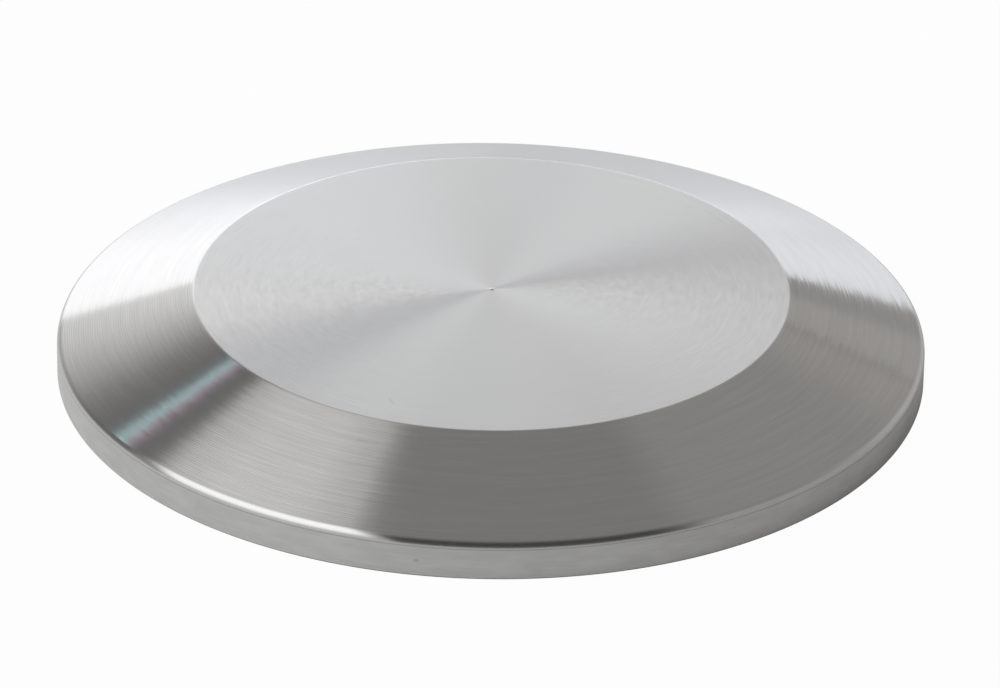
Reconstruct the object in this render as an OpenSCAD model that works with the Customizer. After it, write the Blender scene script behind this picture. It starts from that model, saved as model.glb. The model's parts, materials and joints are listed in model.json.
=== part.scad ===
// Blank end cap for a 2 inch sanitary clamp joint, turned in one piece from stainless bar.
// It closes the end of a tube. Its sealing face, at z = 0, presses a ring gasket against a
// ferrule, and a hinged clamp grips the tapers of both and draws them together.
// It is a solid of revolution about Z, so one half section describes all of it.

/* [Flange] */
// Diameter over the rim
flange_d = 63.9; // [62:0.1:66]
// Height of the sharp corner where the rim and the taper would meet
flange_edge_h = 2.85; // [2:0.05:3.6]
// Height from the sealing face to the back face
cap_h = 6.5; // [5.5:0.1:7.5]
// Angle between the clamp taper and the sealing face
taper_deg = 20; // [17:0.5:23]

/* [Gasket groove] */
// Diameter of the circle that runs along the middle of the groove
groove_pitch_d = 56.3; // [54:0.1:56.6]
// Radius of the groove's round bottom
groove_r = 2.34; // [2:0.02:2.6]
// Depth of the groove below the sealing face
groove_depth = 0.84; // [0.5:0.02:1]

/* [Edges] */
// Radius of the shoulder between the taper and the rim
shoulder_r = 0.56; // [0.2:0.02:1]
// Radius at the foot of the rim
foot_r = 0.25; // [0.05:0.05:0.5]
// Radius on each lip of the gasket groove
lip_r = 0.2; // [0.05:0.05:0.3]
// Width of the edge break at the top of the taper, on each of its two sides
crest_w = 0.1; // [0.05:0.05:0.3]

/* [Hidden] */

$fn = 240;

rim_r = flange_d / 2;
back_face_r = rim_r - (cap_h - flange_edge_h) / tan(taper_deg);

// The shoulder's arc leaves the rim and the taper at this distance from their sharp corner.
shoulder_reach = shoulder_r * tan((90 - taper_deg) / 2);
shoulder_centre = [rim_r - shoulder_r, flange_edge_h - shoulder_reach];

groove_centre = [groove_pitch_d / 2, groove_depth - groove_r];
// Each lip's arc rests on the sealing face and on the groove's round bottom.
lip_span = sqrt(pow(groove_r + lip_r, 2) - pow(groove_r + lip_r - groove_depth, 2));
lip_touch_share = groove_r / (groove_r + lip_r);

// A point on the taper's line, at a distance down it from the corner of the back face
function on_taper(from_back) =
    [back_face_r + from_back * cos(taper_deg), cap_h - from_back * sin(taper_deg)];

// A point on the taper's line, at a distance up it from the sharp corner of the rim
function above_rim(from_rim) =
    [rim_r - from_rim * cos(taper_deg), flange_edge_h + from_rim * sin(taper_deg)];

// Half section of the solid disc, with its shoulder and foot rounded and its crest broken
module blank_section() {
    polygon([
        [0, 0],
        [rim_r - foot_r, 0],
        [rim_r, foot_r],
        [rim_r, shoulder_centre.y],
        above_rim(shoulder_reach),
        on_taper(crest_w),
        [back_face_r - crest_w, cap_h],
        [0, cap_h]
    ]);
    translate([rim_r - foot_r, foot_r]) circle(r = foot_r);
    translate(shoulder_centre) circle(r = shoulder_r);
}

// Half section of the space that the gasket's bead sits in, widened where its lips are rounded
module groove_section() {
    lip_touch_x = lip_span * lip_touch_share;
    lip_touch_z = groove_centre.y + (lip_r - groove_centre.y) * lip_touch_share;
    difference() {
        union() {
            translate(groove_centre) circle(r = groove_r);
            translate([groove_centre.x, 0]) polygon([
                [-lip_span, -lip_r],
                [lip_span, -lip_r],
                [lip_span, 0],
                [lip_touch_x, lip_touch_z],
                [-lip_touch_x, lip_touch_z],
                [-lip_span, 0]
            ]);
        }
        for (side = [-1, 1])
            translate([groove_centre.x + side * lip_span, lip_r]) circle(r = lip_r);
    }
}

module end_cap() {
    color("silver")
        rotate_extrude()
            difference() {
                blank_section();
                groove_section();
            }
}

end_cap();
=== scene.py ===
"""Finish, light and camera for a sanitary clamp end cap, laid out as an add-on and run as a script.

The cap is one turned piece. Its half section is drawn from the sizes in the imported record, a
Geometry Nodes tree turns it about the axis, and each zone of the cut gets its own steel.
"""

import json
import math

import bmesh
import bpy
from mathutils import Matrix, Vector


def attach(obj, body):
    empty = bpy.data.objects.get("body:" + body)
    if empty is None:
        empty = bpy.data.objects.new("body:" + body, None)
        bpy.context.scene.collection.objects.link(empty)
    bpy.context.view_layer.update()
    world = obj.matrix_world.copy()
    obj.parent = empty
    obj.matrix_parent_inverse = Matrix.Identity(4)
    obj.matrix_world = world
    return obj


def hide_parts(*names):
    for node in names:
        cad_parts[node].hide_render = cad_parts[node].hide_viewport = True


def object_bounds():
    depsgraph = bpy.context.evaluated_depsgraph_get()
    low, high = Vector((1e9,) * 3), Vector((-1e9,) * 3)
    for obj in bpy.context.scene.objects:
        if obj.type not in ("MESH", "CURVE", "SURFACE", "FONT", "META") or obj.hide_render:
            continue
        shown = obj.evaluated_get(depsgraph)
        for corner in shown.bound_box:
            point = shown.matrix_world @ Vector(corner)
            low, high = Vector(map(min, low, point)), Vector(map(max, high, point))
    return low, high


bl_info = {
    "name": "Sanitary Clamp End Cap",
    "version": (1, 0, 0),
    "blender": (4, 5, 0),
    "location": "View3D > Sidebar > End Cap",
    "description": "Turns, finishes and lights a sanitary clamp end cap",
    "category": "Object",
}

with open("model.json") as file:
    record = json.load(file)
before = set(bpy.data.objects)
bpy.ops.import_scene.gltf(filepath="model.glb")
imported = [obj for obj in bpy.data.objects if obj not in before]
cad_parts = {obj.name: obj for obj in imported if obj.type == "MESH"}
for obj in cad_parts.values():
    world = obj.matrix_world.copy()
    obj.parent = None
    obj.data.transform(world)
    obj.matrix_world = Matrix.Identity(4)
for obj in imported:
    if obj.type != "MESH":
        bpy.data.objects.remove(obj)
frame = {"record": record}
CAD_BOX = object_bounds()

BODY = "root"
NODE = "end_cap"
MM = 0.001

MOUNTS = {mount["name"]: mount for mount in frame["record"]["mounts"]}
RIM = MOUNTS["rim"]
TAPER = MOUNTS["clamp_taper"]
GROOVE = MOUNTS["gasket_groove"]

CAP_HEIGHT = CAD_BOX[1].z
RIM_RADIUS = RIM["dims"]["r_mm"] * MM
RIM_BOTTOM = RIM["pos_m"][2] - RIM["dims"]["length_mm"] * MM / 2
RIM_TOP = RIM["pos_m"][2] + RIM["dims"]["length_mm"] * MM / 2
TAPER_ANGLE = math.atan2(TAPER["axis"][0], TAPER["axis"][2])
GROOVE_RADIUS = GROOVE["pos_m"][0]
GROOVE_DEPTH = GROOVE["pos_m"][2]


# ---------------------------------------------------------------- settings


def length(name, description, default, low, high):
    """A size in metres that the sidebar shows in the scene's own units."""
    return bpy.props.FloatProperty(
        name=name,
        description=description,
        default=default,
        min=low,
        max=high,
        precision=5,
        unit="LENGTH",
    )


def colour(name, description, default):
    """A colour that the sidebar shows as a swatch."""
    return bpy.props.FloatVectorProperty(
        name=name, description=description, default=default, min=0.0, max=1.0, subtype="COLOR"
    )


def share(name, description, default):
    """A plain number from 0 to 1."""
    return bpy.props.FloatProperty(
        name=name, description=description, default=default, min=0.0, max=1.0, subtype="FACTOR"
    )


def angle(name, description, degrees):
    """An angle, set here in degrees, that the sidebar shows in the scene's own units."""
    return bpy.props.FloatProperty(
        name=name, description=description, default=math.radians(degrees), subtype="ANGLE"
    )


class EndCapShape(bpy.types.PropertyGroup):
    """Sizes of the turned section that the record doesn't give."""

    crest_width: length("Crest", "Width of the edge break at the top of the taper", 0.1 * MM, 0.0, MM)
    groove_round: length("Groove Round", "Radius of the groove's bottom", 2.34 * MM, MM, 4 * MM)
    lip_round: length("Lip Round", "Radius on each lip of the groove", 0.2 * MM, 0.05 * MM, 0.3 * MM)
    pip_radius: length("Pip Radius", "Radius of the pip that facing leaves on the axis", 0.2 * MM, 0.0, MM)
    pip_height: length("Pip Height", "Height of that pip", 0.05 * MM, 0.0, 0.2 * MM)
    segments: bpy.props.IntProperty(
        name="Segments", description="Steps in one turn", default=720, min=64, max=900
    )


class EndCapFinish(bpy.types.PropertyGroup):
    """Colour of the steel, its roughness in each zone, and the feed of the taper's turning marks."""

    steel: colour("Steel", "Colour of the bare steel", (0.6, 0.6, 0.6))
    face_roughness: share("Back Face", "Roughness across the facing marks", 0.17)
    taper_roughness: share("Taper", "Roughness across the turning marks of the taper", 0.16)
    shoulder_roughness: share("Shoulder", "Roughness of the polished shoulder", 0.2)
    rim_roughness: share("Rim", "Roughness of the satin rim", 0.36)
    seal_roughness: share("Sealing Face", "Roughness of the sealing face", 0.16)
    feed: length("Feed", "Distance between the turning marks of the taper", 0.17 * MM, 0.05 * MM, MM)


class EndCapStudio(bpy.types.PropertyGroup):
    """Camera and floor."""

    lens: bpy.props.FloatProperty(name="Lens", description="Focal length", default=263.0, unit="CAMERA")
    distance: length("Distance", "From the camera to the sealing face's centre", 0.5398, 0.1, 5.0)
    elevation: angle("Elevation", "Camera above the floor", 27.84)
    roll: angle("Roll", "Turn of the camera about its sight line", 0.94)
    floor: colour("Floor", "Colour of the floor", (0.93, 0.93, 0.915))


# ---------------------------------------------------------------- node trees


class Wire:
    """An output socket that Python's arithmetic turns into Math nodes."""

    def __init__(self, graph, socket):
        self.graph = graph
        self.socket = socket

    def __add__(self, other):
        return self.graph.math("ADD", self, other)

    def __radd__(self, other):
        return self.graph.math("ADD", other, self)

    def __sub__(self, other):
        return self.graph.math("SUBTRACT", self, other)

    def __rsub__(self, other):
        return self.graph.math("SUBTRACT", other, self)

    def __mul__(self, other):
        return self.graph.math("MULTIPLY", self, other)

    def __rmul__(self, other):
        return self.graph.math("MULTIPLY", other, self)

    def __truediv__(self, other):
        return self.graph.math("DIVIDE", self, other)

    def __rtruediv__(self, other):
        return self.graph.math("DIVIDE", other, self)


class Graph:
    """Builds one node tree, of shader or geometry nodes."""

    def __init__(self, tree):
        self.tree = tree

    def node(self, kind, settings=None, inputs=None):
        """Adds a node. Its settings come first, then a value or a wire for each named socket."""
        made = self.tree.nodes.new(kind)
        for name, value in (settings or {}).items():
            setattr(made, name, value)
        for name, value in (inputs or {}).items():
            self.feed(self.find(made.inputs, name), value)
        return made

    def wire(self, kind, output, settings=None, inputs=None):
        """Adds a node and gives one of its outputs."""
        made = self.node(kind, settings, inputs)
        return Wire(self, self.find(made.outputs, output))

    def feed(self, socket, value):
        """Links a wire to a socket, or sets the socket to a plain value."""
        if isinstance(value, Wire):
            self.tree.links.new(value.socket, socket)
        else:
            socket.default_value = value

    @staticmethod
    def find(sockets, name):
        """A socket by its place in the list, or the live one of that name."""
        if isinstance(name, int):
            return sockets[name]
        return next(s for s in sockets if s.name == name and s.enabled)

    def math(self, operation, first, second=0.0):
        return self.wire("ShaderNodeMath", 0, {"operation": operation}, {0: first, 1: second})

    def vector_math(self, operation, output, *values):
        inputs = dict(enumerate(values))
        return self.wire("ShaderNodeVectorMath", output, {"operation": operation}, inputs)

    def vector(self, x, y, z):
        return self.wire("ShaderNodeCombineXYZ", "Vector", inputs={"X": x, "Y": y, "Z": z})

    def parts(self, vector):
        """The three numbers of a vector, as three wires."""
        split = self.node("ShaderNodeSeparateXYZ", inputs={"Vector": vector})
        return [Wire(self, split.outputs[axis]) for axis in "XYZ"]

    def smooth(self, value, low, high, start=0.0, end=1.0):
        """Goes smoothly from start to end as value goes from low to high."""
        inputs = {"Value": value, "From Min": low, "From Max": high, "To Min": start, "To Max": end}
        return self.wire("ShaderNodeMapRange", "Result", {"interpolation_type": "SMOOTHSTEP"}, inputs)

    def mix_colour(self, factor, first, second):
        """The first colour where the factor is 0, going to the second where it is 1."""
        inputs = {"Factor": factor, "A": first, "B": second}
        return self.wire("ShaderNodeMix", "Result", {"data_type": "RGBA"}, inputs)


def opaque(tone):
    """A colour with full alpha."""
    return (*tone, 1.0)


def scaled(tone, share_kept):
    """A colour made lighter or darker, with full alpha."""
    return opaque([channel * share_kept for channel in tone])


# ---------------------------------------------------------------- steel


QUARTER_TURN = 0.25
GRAIN_ROUGHNESS = 0.6

# Small wear: two ticks on the back face, a scuff on the taper and a dot on the rim, each mark from one
# place to another in millimetres.
FACE_TICKS = [((-7.2, -17.3, 6.5), (-6.9, -18.1, 6.5)), ((-2.6, -18.3, 6.5), (-2.4, -18.3, 6.5))]
TAPER_SCUFF = [((-9.5, -22.4, 5.65), (-9.2, -22.1, 5.75)), ((-9.2, -22.1, 5.75), (-9.0, -22.4, 5.7))]
RIM_DOT = [((-5.05, -31.55, 1.3), (-4.95, -31.55, 1.3))]


def new_surface(name):
    """A material with an empty tree, and its graph."""
    material = bpy.data.materials.new(name)
    material.use_nodes = True
    material.node_tree.nodes.clear()
    return material, Graph(material.node_tree)


def turned_coordinates(graph):
    """Distance from the axis, height, and the way out from the axis as its x and y."""
    x, y, z = graph.parts(graph.wire("ShaderNodeTexCoord", "Object"))
    radius = graph.math("MAXIMUM", graph.math("SQRT", x * x + y * y), 0.001 * MM)
    return radius, z, (x / radius, y / radius)


def rings(graph, along, outward, pitch, sweep, detail=2.0):
    """Tool marks: noise with a grain per pitch along the section, longer round it where sweep is less."""
    lookup = graph.vector(outward[0] * sweep, outward[1] * sweep, along / pitch)
    inputs = {"Vector": lookup, "Scale": 1.0, "Detail": detail, "Roughness": GRAIN_ROUGHNESS}
    return graph.wire("ShaderNodeTexNoise", "Fac", inputs=inputs)


def even_marks(graph, along, pitch):
    """Tool marks that are all alike: a sine with one wave in each pitch."""
    return graph.math("SINE", along * (2 * math.pi / pitch))


def bumped(graph, height, depth):
    """The normal over a height that goes from 0 to about 1 in a given depth."""
    inputs = {"Strength": 1.0, "Distance": depth, "Height": height}
    return graph.wire("ShaderNodeBump", "Normal", inputs=inputs)


def swayed(graph, normal, outward, sway):
    """A normal leant round the axis, as marks that don't run quite true lean it."""
    lean = graph.vector(outward[1] * sway * -1.0, outward[0] * sway, 0.0)
    return graph.vector_math("NORMALIZE", "Vector", graph.vector_math("ADD", "Vector", normal, lean))


def uneven(marks, middle, spread):
    """A roughness that the marks shift by half its spread to either side of its middle."""
    return marks * spread + (middle - spread / 2)


def nicks(graph, places, width):
    """1 along short straight marks, each between two places in millimetres."""
    position = graph.wire("ShaderNodeTexCoord", "Object")
    found = 0.0
    for start, end in places:
        first, last = Vector(start) * MM, Vector(end) * MM
        offset = graph.vector_math("SUBTRACT", "Vector", position, (first + last) / 2)
        reach = graph.vector_math("LENGTH", "Value", offset)
        along = graph.vector_math("DOT_PRODUCT", "Value", offset, (last - first).normalized())
        aside = graph.math("SQRT", graph.math("MAXIMUM", reach * reach - along * along, 0.0))
        half = (last - first).length / 2
        inside = graph.smooth(graph.math("ABSOLUTE", along), half + width, half)
        found = graph.math("MAXIMUM", graph.smooth(aside, width, 0.0) * inside, found)
    return found


def nicked(graph, tone, finish, places, width, kept):
    """A tone that goes halfway, along short marks, to a share of the plain steel's colour."""
    return graph.mix_colour(nicks(graph, places, width) * 0.5, tone, scaled(finish.steel, kept))


def finish_steel(material, graph, tone, roughness, normal, anisotropy):
    """Joins a steel's colour, roughness and normal to its shader, with highlights stretched across the marks.

    Tangent is left unlinked, as its own default already runs round the axis.
    """
    inputs = {
        "Base Color": tone,
        "Metallic": 1.0,
        "Roughness": roughness,
        "Normal": normal,
        "Anisotropic": anisotropy,
        "Anisotropic Rotation": QUARTER_TURN,
    }
    shader = graph.wire("ShaderNodeBsdfPrincipled", "BSDF", inputs=inputs)
    graph.node("ShaderNodeOutputMaterial", inputs={"Surface": shader})
    return material


def faced_steel(finish):
    """Back face: fine facing marks, heavier ones near its edge, and the tool's last turns round the pip."""
    material, graph = new_surface("faced_steel")
    radius, _, outward = turned_coordinates(graph)
    marks = rings(graph, radius, outward, pitch=0.12 * MM, sweep=12.0)
    grain = rings(graph, radius, outward, pitch=0.5 * MM, sweep=9.0, detail=1.0)
    heavy = rings(graph, radius, outward, pitch=0.3 * MM, sweep=1.5, detail=1.0)
    near_edge = graph.smooth(radius, 18 * MM, 21 * MM)
    near_pip = graph.smooth(radius, 1.2 * MM, 0.1 * MM)
    height = marks + grain + heavy * near_edge * 2.0 + even_marks(graph, radius, 0.2 * MM) * near_pip
    normal = swayed(graph, bumped(graph, height, depth=0.0006 * MM), outward, (grain - 0.5) * 0.004)
    roughness = uneven(marks, finish.face_roughness, spread=0.03)
    shade = graph.smooth(marks, 0.3, 0.7)
    tone = graph.mix_colour(shade, scaled(finish.steel, 1.005), scaled(finish.steel, 1.045))
    tone = nicked(graph, tone, finish, FACE_TICKS, width=0.09 * MM, kept=0.75)
    return finish_steel(material, graph, tone, roughness, normal, anisotropy=1.0)


def tapered_steel(finish):
    """Taper: turning marks that catch the light as streaks, over the slow waves that the tool leaves."""
    material, graph = new_surface("tapered_steel")
    radius, _, outward = turned_coordinates(graph)
    fine = rings(graph, radius, outward, pitch=0.13 * MM, sweep=6.0, detail=1.0)
    streaks = rings(graph, radius, outward, pitch=0.4 * MM, sweep=3.5, detail=1.0)
    waves = rings(graph, radius, outward, pitch=2.5 * MM, sweep=1.0, detail=0.0)
    hairs = rings(graph, radius + 3 * MM, outward, pitch=0.14 * MM, sweep=8.0, detail=1.0)
    feed = even_marks(graph, radius, finish.feed) * (streaks + 0.2)
    height = fine + streaks * 1.2 + waves * 4.0 + feed * 0.4
    hair_sway = graph.smooth(outward[0], 0.3, 0.9, start=0.012, end=0.035)
    sway = (hairs - 0.5) * hair_sway + (waves - 0.5) * 0.003
    normal = swayed(graph, bumped(graph, height, depth=0.0015 * MM), outward, sway)
    roughness = uneven(fine, finish.taper_roughness, spread=0.03)
    shade = graph.smooth(fine + streaks, 0.6, 1.4)
    tone = graph.mix_colour(shade, scaled(finish.steel, 0.972), scaled(finish.steel, 1.028))
    tone = nicked(graph, tone, finish, TAPER_SCUFF, width=0.08 * MM, kept=0.75)
    return finish_steel(material, graph, tone, roughness, normal, anisotropy=1.0)


def shoulder_steel(finish):
    """Crest, shoulder and foot: bright rounded edges, and painted shade on the foot's lower half."""
    material, graph = new_surface("shoulder_steel")
    _, height, outward = turned_coordinates(graph)
    marks = rings(graph, height, outward, pitch=0.1 * MM, sweep=2.0)
    roughness = uneven(marks, finish.shoulder_roughness, spread=0.04)
    # Painted shade: the foot's lower half darkened, where it nears the floor and the cap's contact shadow.
    above_painted_foot_shade = graph.smooth(height, 0.06 * MM, 0.2 * MM)
    tone = graph.mix_colour(above_painted_foot_shade, scaled(finish.steel, 0.15), opaque(finish.steel))
    normal = bumped(graph, marks, depth=0.0003 * MM)
    return finish_steel(material, graph, tone, roughness, normal, anisotropy=1.0)


def rim_steel(finish):
    """Rim: satin, with short marks round it, and a fine line of painted shade where it meets the shoulder."""
    material, graph = new_surface("rim_steel")
    _, height, outward = turned_coordinates(graph)
    marks = rings(graph, height, outward, pitch=0.1 * MM, sweep=12.0)
    patches = rings(graph, height, outward, pitch=0.8 * MM, sweep=12.0, detail=1.0)
    roughness = uneven(marks, finish.rim_roughness, spread=0.08)
    shade = graph.smooth(marks + patches, 0.7, 1.3)
    tone = graph.mix_colour(shade, scaled(finish.steel, 0.93), scaled(finish.steel, 1.04))
    # Painted shade: a fine dark line at the top of the rim, standing in for the small step below the
    # shoulder.
    line = graph.smooth(height, RIM_TOP - 0.12 * MM, RIM_TOP - 0.04 * MM)
    tone = graph.mix_colour(line * 0.6, tone, scaled(finish.steel, 0.5))
    tone = nicked(graph, tone, finish, RIM_DOT, width=0.22 * MM, kept=0.5)
    normal = swayed(graph, bumped(graph, marks, depth=0.0014 * MM), outward, (patches - 0.5) * 0.02)
    return finish_steel(material, graph, tone, roughness, normal, anisotropy=0.5)


def sealing_steel(finish):
    """Sealing face and groove: polished, with the finest marks."""
    material, graph = new_surface("sealing_steel")
    radius, _, outward = turned_coordinates(graph)
    marks = rings(graph, radius, outward, pitch=0.08 * MM, sweep=2.0)
    roughness = uneven(marks, finish.seal_roughness, spread=0.04)
    normal = bumped(graph, marks, depth=0.0002 * MM)
    return finish_steel(material, graph, opaque(finish.steel), roughness, normal, anisotropy=0.8)


ZONES = [faced_steel, tapered_steel, shoulder_steel, rim_steel, sealing_steel]


# ---------------------------------------------------------------- the turned piece


WELD = 0.0001 * MM


def arc(centre, radius, start, end, steps):
    """Points of the half section on an arc, between two angles in radians."""
    angles = [start + (end - start) * step / steps for step in range(steps + 1)]
    return [(centre[0] + radius * math.cos(a), centre[1] + radius * math.sin(a)) for a in angles]


def straight(start, end, hold=0.04 * MM):
    """The two ends of a straight run, each with a point close by that keeps the run flat in shading."""
    span = math.dist(start, end)
    near, far = hold / span, 1 - hold / span
    return [
        start,
        *[(start[0] + (end[0] - start[0]) * t, start[1] + (end[1] - start[1]) * t) for t in (near, far)],
        end,
    ]


def pip_section(shape, steps):
    """Points of the half section over the pip, a low round hill on the axis."""
    ways = [step / steps for step in range(steps + 1)]
    heights = [shape.pip_height * (1 + math.cos(math.pi * way)) / 2 for way in ways]
    return [(shape.pip_radius * way, CAP_HEIGHT + height) for way, height in zip(ways, heights)]


def half_section(shape):
    """The half section as runs of (zone, points), from the back face's centre to the sealing face's."""
    quarter = math.pi / 2
    corner_height = TAPER["pos_m"][2] - (RIM_RADIUS - TAPER["pos_m"][0]) * math.tan(TAPER_ANGLE)
    reach = corner_height - RIM_TOP
    shoulder_round = reach / math.tan((quarter - TAPER_ANGLE) / 2)
    shoulder_centre = (RIM_RADIUS - shoulder_round, RIM_TOP)
    shoulder = arc(shoulder_centre, shoulder_round, quarter - TAPER_ANGLE, 0.0, steps=14)
    foot = arc((RIM_RADIUS - RIM_BOTTOM, RIM_BOTTOM), RIM_BOTTOM, 0.0, -quarter, steps=8)

    face_radius = RIM_RADIUS - (CAP_HEIGHT - corner_height) / math.tan(TAPER_ANGLE)
    crest_round = shape.crest_width / math.tan(TAPER_ANGLE / 2)
    crest_centre = (face_radius - shape.crest_width, CAP_HEIGHT - crest_round)
    crest = arc(crest_centre, crest_round, quarter, quarter - TAPER_ANGLE, steps=6)
    pip = pip_section(shape, steps=10)

    groove_centre = (GROOVE_RADIUS, GROOVE_DEPTH - shape.groove_round)
    lip_sum = shape.groove_round + shape.lip_round
    lip_angle = math.acos((shape.lip_round - groove_centre[1]) / lip_sum)
    lip_offset = lip_sum * math.sin(lip_angle)
    outer_centre = (GROOVE_RADIUS + lip_offset, shape.lip_round)
    inner_centre = (GROOVE_RADIUS - lip_offset, shape.lip_round)
    outer_lip = arc(outer_centre, shape.lip_round, -quarter, -quarter - lip_angle, steps=5)
    groove = arc(groove_centre, shape.groove_round, quarter - lip_angle, quarter + lip_angle, steps=24)
    inner_lip = arc(inner_centre, shape.lip_round, -quarter + lip_angle, -quarter, steps=5)
    return [
        (faced_steel, pip),
        (faced_steel, straight(pip[-1], crest[0])),
        (shoulder_steel, crest),
        (tapered_steel, straight(crest[-1], shoulder[0])),
        (shoulder_steel, shoulder),
        (rim_steel, straight(shoulder[-1], foot[0])),
        (shoulder_steel, foot),
        (sealing_steel, straight(foot[-1], outer_lip[0])),
        (sealing_steel, outer_lip),
        (sealing_steel, groove),
        (sealing_steel, inner_lip),
        (sealing_steel, straight(inner_lip[-1], (0.0, 0.0))),
    ]


def section_object(shape):
    """The half section as a string of edges, each point carrying the zone of the run that it starts."""
    points, zones = [], []
    for zone, run in half_section(shape):
        if points:
            points.pop()
            zones.pop()
        points.extend(run)
        zones.extend([ZONES.index(zone)] * len(run))
    mesh = bpy.data.meshes.new("half_section")
    mesh.from_pydata([(r, 0.0, z) for r, z in points], [(i, i + 1) for i in range(len(points) - 1)], [])
    mesh.attributes.new("zone", "INT", "POINT").data.foreach_set("value", zones)
    section = bpy.data.objects.new("half_section", mesh)
    bpy.context.scene.collection.objects.link(section)
    return section


def lathe_tree(materials):
    """Geometry Nodes tree that turns a half section about Z, and the identifier of its Segments input.

    A flat grid has a column for each point of the section and a row for each step of the turn. Each
    of its points then moves to where its section point comes to lie at that step.
    """
    tree = bpy.data.node_groups.new("lathe", "GeometryNodeTree")
    tree.interface.new_socket("Geometry", in_out="INPUT", socket_type="NodeSocketGeometry")
    segments_socket = tree.interface.new_socket("Segments", in_out="INPUT", socket_type="NodeSocketInt")
    tree.interface.new_socket("Geometry", in_out="OUTPUT", socket_type="NodeSocketGeometry")
    graph = Graph(tree)
    given = graph.node("NodeGroupInput")
    section = Wire(graph, given.outputs["Geometry"])
    segments = Wire(graph, given.outputs["Segments"])

    count = graph.wire("GeometryNodeAttributeDomainSize", "Point Count", {"component": "MESH"}, {0: section})
    grid = graph.wire(
        "GeometryNodeMeshGrid",
        "Mesh",
        inputs={"Size X": count - 1, "Size Y": segments, "Vertices X": count, "Vertices Y": segments + 1},
    )
    position = graph.wire("GeometryNodeInputPosition", "Position")
    across, along, _ = graph.parts(position)
    column = across + (count - 1) / 2
    turn = (along / segments + 0.5) * (2 * math.pi)

    zone = graph.wire("GeometryNodeInputNamedAttribute", "Attribute", {"data_type": "INT"}, {"Name": "zone"})
    column_zone = graph.wire(
        "GeometryNodeSampleIndex",
        "Value",
        {"data_type": "INT", "domain": "POINT"},
        {"Geometry": section, "Value": zone, "Index": graph.math("FLOOR", column)},
    )
    grid = graph.wire(
        "GeometryNodeStoreNamedAttribute",
        "Geometry",
        {"data_type": "INT", "domain": "FACE"},
        {"Geometry": grid, "Name": "zone", "Value": column_zone},
    )
    column_place = graph.wire(
        "GeometryNodeSampleIndex",
        "Value",
        {"data_type": "FLOAT_VECTOR", "domain": "POINT"},
        {"Geometry": section, "Value": position, "Index": graph.math("ROUND", column)},
    )
    radius, _, height = graph.parts(column_place)
    turned = graph.vector(radius * graph.math("COSINE", turn), radius * graph.math("SINE", turn), height)
    finishing = [
        ("GeometryNodeSetPosition", {"Position": turned}),
        ("GeometryNodeMergeByDistance", {"Distance": WELD}),
        ("GeometryNodeRealizeInstances", {}),
    ]
    solid = grid
    for kind, inputs in finishing:
        solid = graph.wire(kind, "Geometry", inputs={"Geometry": solid, **inputs})

    # Each steel goes on its own zone and on all the later ones, so that no face is ever left bare.
    from_zone_on = {"data_type": "INT", "operation": "GREATER_EQUAL"}
    for index, material in enumerate(materials):
        chosen = graph.wire("FunctionNodeCompare", "Result", from_zone_on, {"A": zone, "B": index})
        inputs = {"Geometry": solid, "Selection": chosen, "Material": material}
        solid = graph.wire("GeometryNodeSetMaterial", "Geometry", inputs=inputs)
    graph.node("NodeGroupOutput", inputs={"Geometry": solid})
    return tree, segments_socket.identifier


def plain_mesh(source, name):
    """The evaluated object as a new object with a plain mesh, closed, with its faces outwards."""
    evaluated = source.evaluated_get(bpy.context.evaluated_depsgraph_get())
    mesh = bpy.data.meshes.new_from_object(evaluated)
    mesh.name = name
    work = bmesh.new()
    work.from_mesh(mesh)
    bmesh.ops.recalc_face_normals(work, faces=work.faces)
    for face in work.faces:
        face.smooth = True
    work.to_mesh(mesh)
    work.free()
    piece = bpy.data.objects.new(name, mesh)
    bpy.context.scene.collection.objects.link(piece)
    return piece


class ENDCAP_OT_turn(bpy.types.Operator):
    """Turn the cap from its half section and finish each zone of it"""

    bl_idname = "endcap.turn"
    bl_label = "Turn the Cap"

    def execute(self, context):
        shape = context.scene.end_cap_shape
        finish = context.scene.end_cap_finish
        section = section_object(shape)
        tree, segments_identifier = lathe_tree([zone(finish) for zone in ZONES])
        modifier = section.modifiers.new("lathe", "NODES")
        modifier.node_group = tree
        modifier[segments_identifier] = shape.segments
        cap = plain_mesh(section, "turned_cap")
        bpy.data.objects.remove(section)
        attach(cap, BODY)
        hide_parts(NODE)
        return {"FINISHED"}


# ---------------------------------------------------------------- studio


WHITE = (1.0, 1.0, 1.0, 1.0)
AIM = Vector((0.67, 0.0, 1.96)) * MM
FLOOR_RADIUS = 2.0
FLOOR_GAP = 0.01 * MM

# The floor behind the cap as steel mirrors it, and how much of the floor is plain white to the camera.
FAR_FLOOR = (0.92, 0.945, 1.0)
SEEN_WHITE = 0.97

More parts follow.
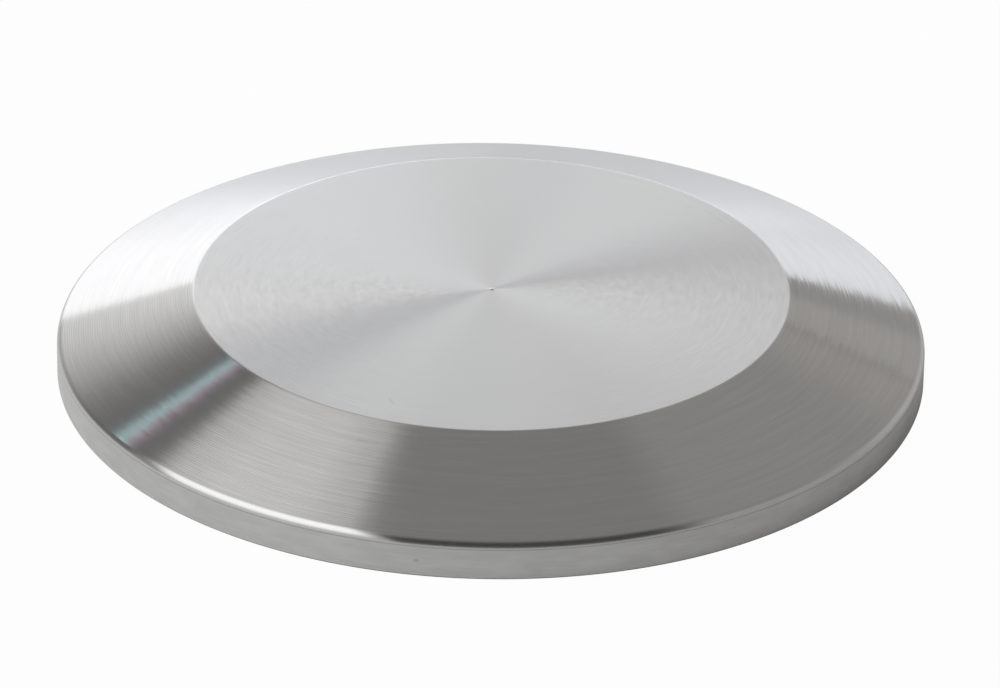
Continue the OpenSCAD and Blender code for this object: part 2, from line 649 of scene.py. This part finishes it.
# The room is laid out by mirroring. VIEWPOINT is an azimuth and an elevation, and each card of light or
# shade is given by the steel that mirrors it there, with every angle in degrees: its two sides round the
# cap from the front, positive to the right, how far to either side of itself each side fades, how far
# that steel leans at the card's two ends (0 is lying flat, 90 upright), how far each end fades, how much
# the card turns per degree of lean past MIDDLE_LEAN, and its light. Later cards lie over earlier ones.
VIEWPOINT = (180, 27)
MIDDLE_LEAN = 22
WALLS = (0.335, 0.325, 0.31)
CARDS = [
    ("left_wall", (-90.5, -79), (1, 12), (4, 24), (4, 6), 0, (1.6, 1.59, 1.57)),
    ("left_low", (-90.5, -76), (1, 8), (24, 90), (6, 1), 0, (0.52, 0.515, 0.51)),
    ("backdrop_left", (-200, -90.5), (1, 1), (-9, 50), (1, 25), 0, (1.56, 1.56, 1.58)),
    ("left_top", (-152, -90.5), (28, 1), (-9, 11), (1, 3), 0, (1.78, 1.8, 1.85)),
    ("left_lamp", (-166, -119), (18, 8), (8, 42), (3, 10), 0, (2.02, 2.04, 2.12)),
    ("backdrop_right", (96.5, 200), (1.5, 1), (-9, 60), (1, 10), -0.06, (1.11, 1.12, 1.16)),
    ("right_lamp", (118, 150), (6, 15), (14, 60), (3, 10), 0, (1.48, 1.5, 1.58)),
    ("backdrop_top", (88, 200), (5, 1), (-9, 11), (1, 3), 0, (1.22, 1.22, 1.24)),
    ("backdrop_peak", (109, 200), (7, 1), (-9, 11), (1, 3), 0, (1.57, 1.58, 1.62)),
    ("ceiling", (-16.3, 28), (0.5, 5), (11, 38), (3, 8), 0.08, (0.295, 0.29, 0.285)),
    ("front_top", (-48, 24), (5, 5), (-9, 10), (1, 3), 0, (0.44, 0.44, 0.43)),
    ("right_front", (28, 57), (5, 8), (12, 30), (3, 4), 0, (0.36, 0.35, 0.335)),
    ("right_wall", (57, 97), (15, 2), (30, 90), (8, 1), 0, (0.6, 0.58, 0.555)),
    ("right_side", (68, 77), (8, 0.5), (10, 30), (3, 4), 0, (0.415, 0.4, 0.38)),
    ("right_edge", (79, 89), (0.5, 2), (10, 30), (3, 4), 0, (0.46, 0.445, 0.425)),
    ("right_near", (27, 60), (3, 10), (54, 90), (6, 1), 0, (0.49, 0.475, 0.455)),
    ("front", (-16.3, 24), (0.5, 6), (36, 90), (12, 1), 0.08, (0.07, 0.07, 0.068)),
    ("key_low", (-44, -16.3), (5, 0.5), (12, 90), (3, 1), 0.08, (0.56, 0.55, 0.54)),
    ("key_end", (-24, -16.3), (5, 0.5), (12, 24), (3, 3), 0.08, (0.3, 0.295, 0.29)),
    ("key", (-50, -18.5), (3, 1), (24.5, 66), (3, 10), 0.08, (1.6, 1.6, 1.58)),
    ("flag", (-66.5, -50.5), (6, 2), (-9, 90), (1, 1), -0.1, (0.19, 0.187, 0.183)),
    ("flag_top", (-71, -50), (3, 7), (-9, 10), (1, 4), 0, (0.07, 0.07, 0.068)),
    ("prism_core", (-60, -57.6), (0.4, 0.4), (18, 27), (1, 1), 0.12, (0.38, 0.54, 0.53)),
    ("prism_white", (-59.9, -57.8), (0.4, 0.4), (27, 31), (1, 1), 0.12, (2.1, 3.2, 3)),
    ("prism_blue", (-59.6, -57.5), (0.4, 0.4), (14, 18), (1, 1), 0.12, (1.2, 1.2, 1.9)),
    ("prism_pink", (-57.4, -56.4), (0.4, 0.4), (14, 31), (1, 1), 0.12, (0.55, 0.3, 0.38)),
]


def direction(azimuth, elevation):
    """Unit vector for an azimuth from +Y towards +X and an elevation, in degrees."""
    azimuth, elevation = math.radians(azimuth), math.radians(elevation)
    flat = math.cos(elevation)
    return Vector((math.sin(azimuth) * flat, math.cos(azimuth) * flat, math.sin(elevation)))


def between(graph, value, ends, fades):
    """1 between two ends, fading over each."""
    into = graph.smooth(value, ends[0] - fades[0], ends[0] + fades[0])
    return into * graph.smooth(value, ends[1] + fades[1], ends[1] - fades[1])


def build_world():
    """The room as the world: grey walls with the cards over them, and plain white for the camera."""
    world = bpy.data.worlds.new("room")
    world.use_nodes = True
    world.node_tree.nodes.clear()
    graph = Graph(world.node_tree)
    looking = graph.wire("ShaderNodeTexCoord", "Generated")
    halfway = graph.vector_math("ADD", "Vector", looking, direction(*VIEWPOINT))
    x, y, z = graph.parts(graph.vector_math("NORMALIZE", "Vector", halfway))
    around = graph.math("ARCTAN2", x, y * -1.0) * math.degrees(1)
    lean = graph.math("ARCCOSINE", z) * math.degrees(1)
    light = opaque(WALLS)
    for name, sides, side_fades, ends, end_fades, turn, glow in CARDS:
        across = around - (lean - MIDDLE_LEAN) * turn if turn else around
        mask = between(graph, across, sides, side_fades) * between(graph, lean, ends, end_fades)
        light = graph.mix_colour(mask, light, opaque(glow))
        light.socket.node.label = name
    camera_ray = graph.wire("ShaderNodeLightPath", "Is Camera Ray")
    light = graph.mix_colour(camera_ray, light, WHITE)
    shader = graph.wire("ShaderNodeBackground", "Background", inputs={"Color": light, "Strength": 1.0})
    graph.node("ShaderNodeOutputWorld", inputs={"Surface": shader})
    bpy.context.scene.world = world


def floor_surface(studio):
    """Pale floor, with painted shade darkening it in front of the cap and a little at its right.

    Steel that mirrors it also sees a pale glow at the left and the back, and the camera sees it white
    but for the cap's faint shadow.
    """
    material, graph = new_surface("floor")
    x, y, _ = graph.parts(graph.wire("ShaderNodeTexCoord", "Object"))
    # Painted shade: the floor darker in front of the cap, and at its right where the cap's shadow falls.
    front = graph.smooth(y, -40 * MM, -60 * MM) * graph.smooth(x, -50 * MM, 0.0, start=0.8)
    right = graph.smooth(x, 0.0, 30 * MM) * graph.smooth(y, 20 * MM, -10 * MM, end=0.24)
    shade = graph.math("MAXIMUM", front, right)
    tone = graph.mix_colour(shade, opaque(studio.floor), scaled(studio.floor, share_kept=0.32))
    matt = graph.wire("ShaderNodeBsdfDiffuse", "BSDF", inputs={"Color": tone})

    path = graph.node("ShaderNodeLightPath")
    camera_ray = Wire(graph, path.outputs["Is Camera Ray"])
    glossy_ray = Wire(graph, path.outputs["Is Glossy Ray"])
    # Painted light: for reflections the floor glows pale at its left, as if lit from there, and towards its
    # back.
    left = graph.smooth(x, 50 * MM, -50 * MM, end=0.55)
    back = graph.smooth(y, 20 * MM, 50 * MM)
    mirrored = graph.mix_colour(back, opaque(studio.floor), opaque(FAR_FLOOR))
    light = graph.mix_colour(camera_ray, mirrored, WHITE)
    glow = graph.wire("ShaderNodeEmission", "Emission", inputs={"Color": light, "Strength": 1.0})
    shown = camera_ray * SEEN_WHITE + glossy_ray * graph.math("MAXIMUM", left, back * 0.5)
    shader = graph.wire("ShaderNodeMixShader", "Shader", inputs={0: shown, 1: matt, 2: glow})
    graph.node("ShaderNodeOutputMaterial", inputs={"Surface": shader})
    return material


def build_floor(studio):
    """A wide disc just under the sealing face."""
    mesh = bpy.data.meshes.new("floor")
    work = bmesh.new()
    bmesh.ops.create_circle(work, cap_ends=True, segments=96, radius=FLOOR_RADIUS)
    bmesh.ops.translate(work, verts=work.verts, vec=(0, 0, CAD_BOX[0].z - FLOOR_GAP))
    work.to_mesh(mesh)
    work.free()
    mesh.materials.append(floor_surface(studio))
    floor = bpy.data.objects.new("floor", mesh)
    bpy.context.scene.collection.objects.link(floor)


def build_camera(studio):
    """The camera in front of the cap, a little above it, aimed near its middle."""
    data = bpy.data.cameras.new("camera")
    data.lens = studio.lens
    data.sensor_width = 36.0
    data.clip_start = 0.01
    camera = bpy.data.objects.new("camera", data)
    bpy.context.scene.collection.objects.link(camera)
    place = Vector((0, -math.cos(studio.elevation), math.sin(studio.elevation))) * studio.distance
    sight = (AIM - place).to_track_quat("-Z", "Y").to_matrix().to_4x4()
    camera.matrix_world = Matrix.Translation(place) @ sight @ Matrix.Rotation(studio.roll, 4, "Z")
    bpy.context.scene.camera = camera


class ENDCAP_OT_stage(bpy.types.Operator):
    """Set the camera, the room and the floor"""

    bl_idname = "endcap.stage"
    bl_label = "Set the Stage"

    def execute(self, context):
        studio = context.scene.end_cap_studio
        build_camera(studio)
        build_world()
        build_floor(studio)
        context.scene.view_settings.view_transform = "Standard"
        return {"FINISHED"}


class ENDCAP_PT_panel(bpy.types.Panel):
    """End cap steps in the sidebar"""

    bl_idname = "ENDCAP_PT_panel"
    bl_label = "End Cap"
    bl_space_type = "VIEW_3D"
    bl_region_type = "UI"
    bl_category = "End Cap"

    def draw(self, context):
        scene = context.scene
        for settings in (scene.end_cap_studio, scene.end_cap_shape, scene.end_cap_finish):
            box = self.layout.box()
            for name in settings.__annotations__:
                box.prop(settings, name)
        for step in STEPS:
            self.layout.operator(step.bl_idname)


STEPS = [ENDCAP_OT_stage, ENDCAP_OT_turn]
SETTINGS = {
    "end_cap_studio": EndCapStudio,
    "end_cap_shape": EndCapShape,
    "end_cap_finish": EndCapFinish,
}


def register():
    """Makes the settings, the steps and the panel known to Blender."""
    for kind in (*SETTINGS.values(), *STEPS, ENDCAP_PT_panel):
        bpy.utils.register_class(kind)
    for name, kind in SETTINGS.items():
        setattr(bpy.types.Scene, name, bpy.props.PointerProperty(type=kind))


def unregister():
    """Takes them out again."""
    for name in SETTINGS:
        delattr(bpy.types.Scene, name)
    for kind in (ENDCAP_PT_panel, *reversed(STEPS), *reversed(SETTINGS.values())):
        bpy.utils.unregister_class(kind)


def main():
    """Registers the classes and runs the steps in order."""
    register()
    bpy.ops.endcap.stage()
    bpy.ops.endcap.turn()


if __name__ == "__main__":
    main()
